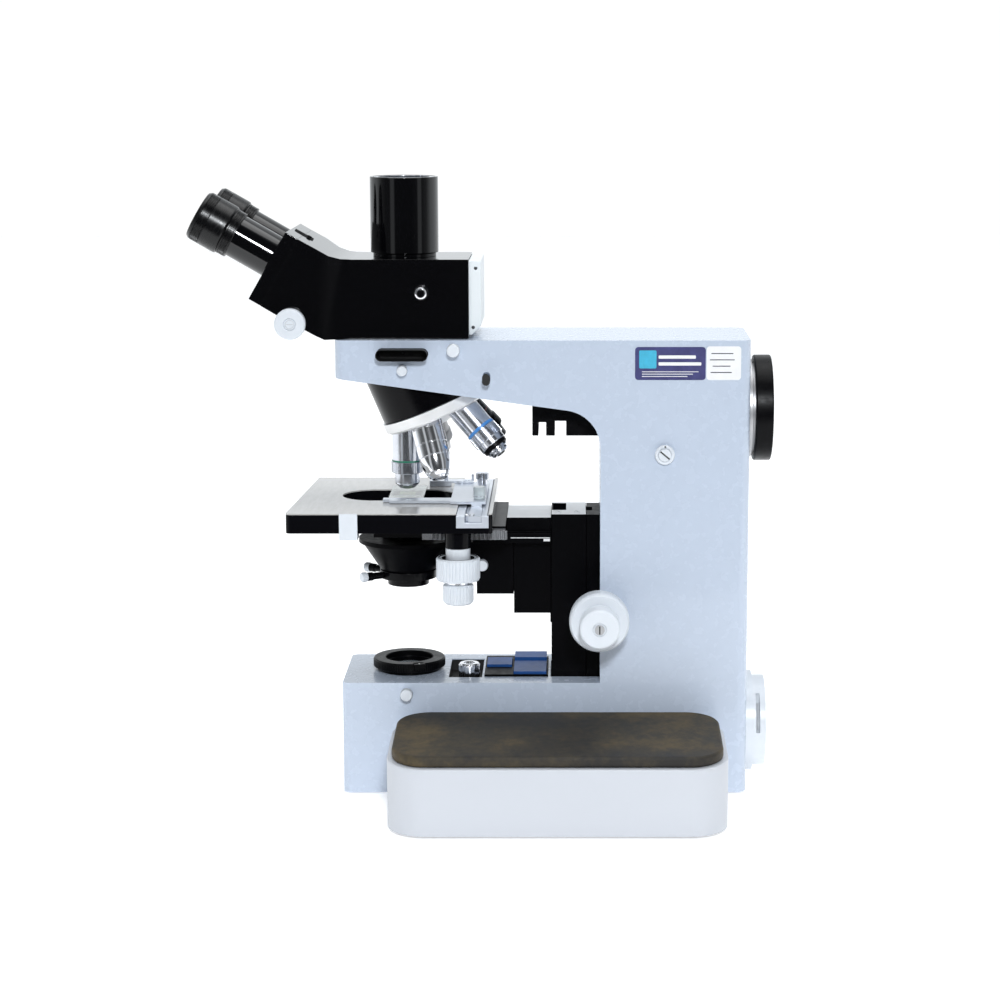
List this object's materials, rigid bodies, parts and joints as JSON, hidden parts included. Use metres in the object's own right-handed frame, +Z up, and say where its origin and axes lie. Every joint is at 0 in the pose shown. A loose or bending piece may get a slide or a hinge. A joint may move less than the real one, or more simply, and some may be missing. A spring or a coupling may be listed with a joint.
{
  "type": "laboratory microscope",
  "caption": "Large-field trinocular laboratory microscope with inclined eyepieces, revolving nosepiece, mechanical stage, condenser, coaxial focusing and two arm rests.",
  "frame": {"origin": "middle of the object's bounding box in X and Y, on the surface it stands on", "axes": "+Z up, -Y towards the user at the eyepieces, +X to the user's right"},
  "size_m": [0.308, 0.4262, 0.457],
  "materials": {
    "stand_paint": "gloss, light blue-grey",
    "ivory_paint": "satin, near white",
    "ivory_plastic": "satin, near white",
    "black_paint": "gloss black enamel",
    "black_satin": "satin black",
    "black_anodised": "black anodised, knurled",
    "stage_finish": "polished warm grey top, black edge",
    "chrome": "polished",
    "steel": "brushed",
    "plate_steel": "plain",
    "light_alloy": "satin",
    "pad": "dark, worn to olive and ochre",
    "foot_rubber": "matt",
    "lens_glass": "polished",
    "slide_glass": "polished",
    "blue_glass": "blue daylight filter",
    "mirror_face": "polished",
    "label_film": "printed film with plain shapes"
  },
  "bodies": {
    "stand": {"stand_casting": "stand_paint", "base_plate": "plate_steel", "feet": "foot_rubber", "armrest_right": "ivory_paint", "armrest_left": "ivory_paint", "armrest_pads": "pad", "lamp_mount": "ivory_paint", "port_flange": "light_alloy", "field_lens": "lens_glass", "field_mirror": "mirror_face", "filter_carrier": "black_satin", "filter_glasses": "blue_glass", "lamp_bracket": "black_satin", "focus_guide": "black_satin", "service_labels": "label_film", "nosepiece_body": "black_paint"},
    "cap": {"dust_cap": "black_satin"},
    "field_diaphragm": {"field_ring": "black_satin"},
    "mirror_knob": {"mirror_screw": "chrome"},
    "slot_knob": {"slot_screw": "light_alloy"},
    "head_clamp": {"head_clamp_screw": "light_alloy"},
    "switch": {"lock_switch": "steel"},
    "base_knob": {"base_screw": "light_alloy"},
    "coarse_slide": {"focus_slide": "black_satin", "stage_carrier": "black_satin", "stage_bed": "black_satin"},
    "coarse_drive": {"coarse_shaft": "steel", "coarse_knobs": "ivory_plastic"},
    "fine_drive": {"fine_shaft": "steel", "fine_knobs": "ivory_plastic"},
    "stage_y": {"stage_plate": "stage_finish", "stage_strap": "light_alloy", "guide_rail": "steel"},
    "stage_x": {"guide_carriage": "steel", "guide_screws": "steel", "specimen_slide": "slide_glass"},
    "finger": {"guide_finger": "steel"},
    "y_drive": {"y_drive_knob": "light_alloy", "y_drive_pinion": "steel"},
    "x_drive": {"x_drive_knob": "light_alloy", "x_drive_shaft": "steel"},
    "condenser": {"condenser_holder": "black_paint", "condenser_body": "black_paint"},
    "centring_right": {"centring_screw_right": "black_anodised"},
    "centring_left": {"centring_screw_left": "black_anodised"},
    "condenser_drive": {"condenser_knob": "light_alloy"},
    "turret": {"nosepiece_turret": "light_alloy", "objective_1": "chrome", "objective_2": "chrome", "objective_3": "chrome", "objective_4": "black_anodised", "objective_5": "steel"},
    "head": {"head_housing": "black_paint", "head_front_plate": "black_paint", "rear_plate": "ivory_paint", "photo_tube": "black_paint"},
    "beam_rod": {"pull_rod": "black_anodised"},
    "ocular_right": {"oculars_right": "black_anodised"},
    "ocular_left": {"oculars_left": "black_anodised"},
    "ipd_drive": {"ipd_knob": "light_alloy"}
  },
  "joints": [
    {"name": "cap_pull", "type": "slide", "parent": "stand", "child": "cap", "axis": [0, 1, 0], "range_m": [0, 0.02]},
    {"name": "field_ring_turn", "type": "hinge", "parent": "stand", "child": "field_diaphragm", "pos_m": [0, -0.05777, 0.09], "axis": [0, 0, 1], "range_deg": [-30, 60]},
    {"name": "mirror_knob_turn", "type": "hinge", "parent": "stand", "child": "mirror_knob", "pos_m": [0.014, -0.01177, 0.08], "axis": [0, 0, 1], "range_deg": [-360, 360]},
    {"name": "slot_knob_turn", "type": "hinge", "parent": "stand", "child": "slot_knob", "pos_m": [0.045, -0.05747, 0.3195], "axis": [1, 0, 0], "range_deg": [-360, 360]},
    {"name": "head_clamp_turn", "type": "hinge", "parent": "stand", "child": "head_clamp", "pos_m": [0.045, -0.02027, 0.3342], "axis": [1, 0, 0], "range_deg": [-360, 360]},
    {"name": "switch_turn", "type": "hinge", "parent": "stand", "child": "switch", "pos_m": [0.045, 0.13323, 0.2575], "axis": [1, 0, 0], "range_deg": [-90, 90]},
    {"name": "base_knob_turn", "type": "hinge", "parent": "stand", "child": "base_knob", "pos_m": [0.045, -0.05697, 0.0781], "axis": [1, 0, 0], "range_deg": [-360, 360]},
    {"name": "stage_height", "type": "slide", "parent": "stand", "child": "coarse_slide", "axis": [0, 0, 1], "range_m": [-0.02, 0.0025]},
    {"name": "coarse_turn", "type": "hinge", "parent": "stand", "child": "coarse_drive", "pos_m": [0, 0.08543, 0.1386], "axis": [1, 0, 0], "range_deg": [-20, 150]},
    {"name": "fine_turn", "type": "hinge", "parent": "stand", "child": "fine_drive", "pos_m": [0, 0.08543, 0.1386], "axis": [1, 0, 0], "range_deg": [-1800, 1800]},
    {"name": "stage_y_move", "type": "slide", "parent": "coarse_slide", "child": "stage_y", "axis": [0, 1, 0], "range_m": [-0.016, 0.007]},
    {"name": "y_knob_turn", "type": "hinge", "parent": "stage_y", "child": "y_drive", "pos_m": [0.065, -0.01727, 0.175], "axis": [0, 0, 1], "range_deg": [-140, 70]},
    {"name": "stage_x_move", "type": "slide", "parent": "stage_y", "child": "stage_x", "axis": [1, 0, 0], "range_m": [-0.01, 0.03]},
    {"name": "x_knob_turn", "type": "hinge", "parent": "stage_y", "child": "x_drive", "pos_m": [0.065, -0.01727, 0.158], "axis": [0, 0, 1], "range_deg": [-260, 100]},
    {"name": "finger_swing", "type": "hinge", "parent": "stage_x", "child": "finger", "pos_m": [-0.04, -0.01877, 0.222], "axis": [0, 0, 1], "range_deg": [-25, 0], "stiffness_Nm_per_rad": 0.05, "springref_deg": 11.46},
    {"name": "condenser_height", "type": "slide", "parent": "coarse_slide", "child": "condenser", "axis": [0, 0, 1], "range_m": [-0.02, 0]},
    {"name": "condenser_knob_turn", "type": "hinge", "parent": "condenser", "child": "condenser_drive", "pos_m": [0.02, -0.00117, 0.1707], "axis": [1, 0, 0], "range_deg": [-300, 10]},
    {"name": "centring_right_turn", "type": "hinge", "parent": "condenser", "child": "centring_right", "pos_m": [0.01133, -0.07663, 0.1606], "axis": [0.515, -0.8572, 0], "range_deg": [-360, 360]},
    {"name": "centring_left_turn", "type": "hinge", "parent": "condenser", "child": "centring_left", "pos_m": [-0.01133, -0.07663, 0.1606], "axis": [-0.515, -0.8572, 0], "range_deg": [-360, 360]},
    {"name": "turret_turn", "type": "hinge", "parent": "stand", "child": "turret", "pos_m": [0, -0.05777, 0.335], "axis": [0, 0.3891, -0.9212], "continuous": true},
    {"name": "head_turn", "type": "hinge", "parent": "stand", "child": "head", "pos_m": [0, -0.05777, 0.341], "axis": [0, 0, 1], "range_deg": [-180, 180]},
    {"name": "beam_rod_pull", "type": "slide", "parent": "head", "child": "beam_rod", "axis": [1, 0, 0], "range_m": [0, 0.012]},
    {"name": "ocular_right_shift", "type": "slide", "parent": "head", "child": "ocular_right", "axis": [1, 0, 0], "range_m": [-0.005, 0.0045]},
    {"name": "ocular_left_shift", "type": "slide", "parent": "head", "child": "ocular_left", "axis": [1, 0, 0], "range_m": [-0.0045, 0.005]},
    {"name": "ipd_knob_turn", "type": "hinge", "parent": "head", "child": "ipd_drive", "pos_m": [0.049, -0.13727, 0.3539], "axis": [1, 0, 0], "range_deg": [-100, 100]}
  ],
  "couplings": [
    {"joint": "coarse_turn", "follows": "stage_height", "rad_per_m": -125},
    {"joint": "y_knob_turn", "follows": "stage_y_move", "rad_per_m": 142.86},
    {"joint": "x_knob_turn", "follows": "stage_x_move", "rad_per_m": -142.86},
    {"joint": "condenser_knob_turn", "follows": "condenser_height", "rad_per_m": 250},
    {"joint": "ocular_left_shift", "follows": "ocular_right_shift", "ratio": -1},
    {"joint": "ipd_knob_turn", "follows": "ocular_right_shift", "rad_per_m": 300}
  ]
}
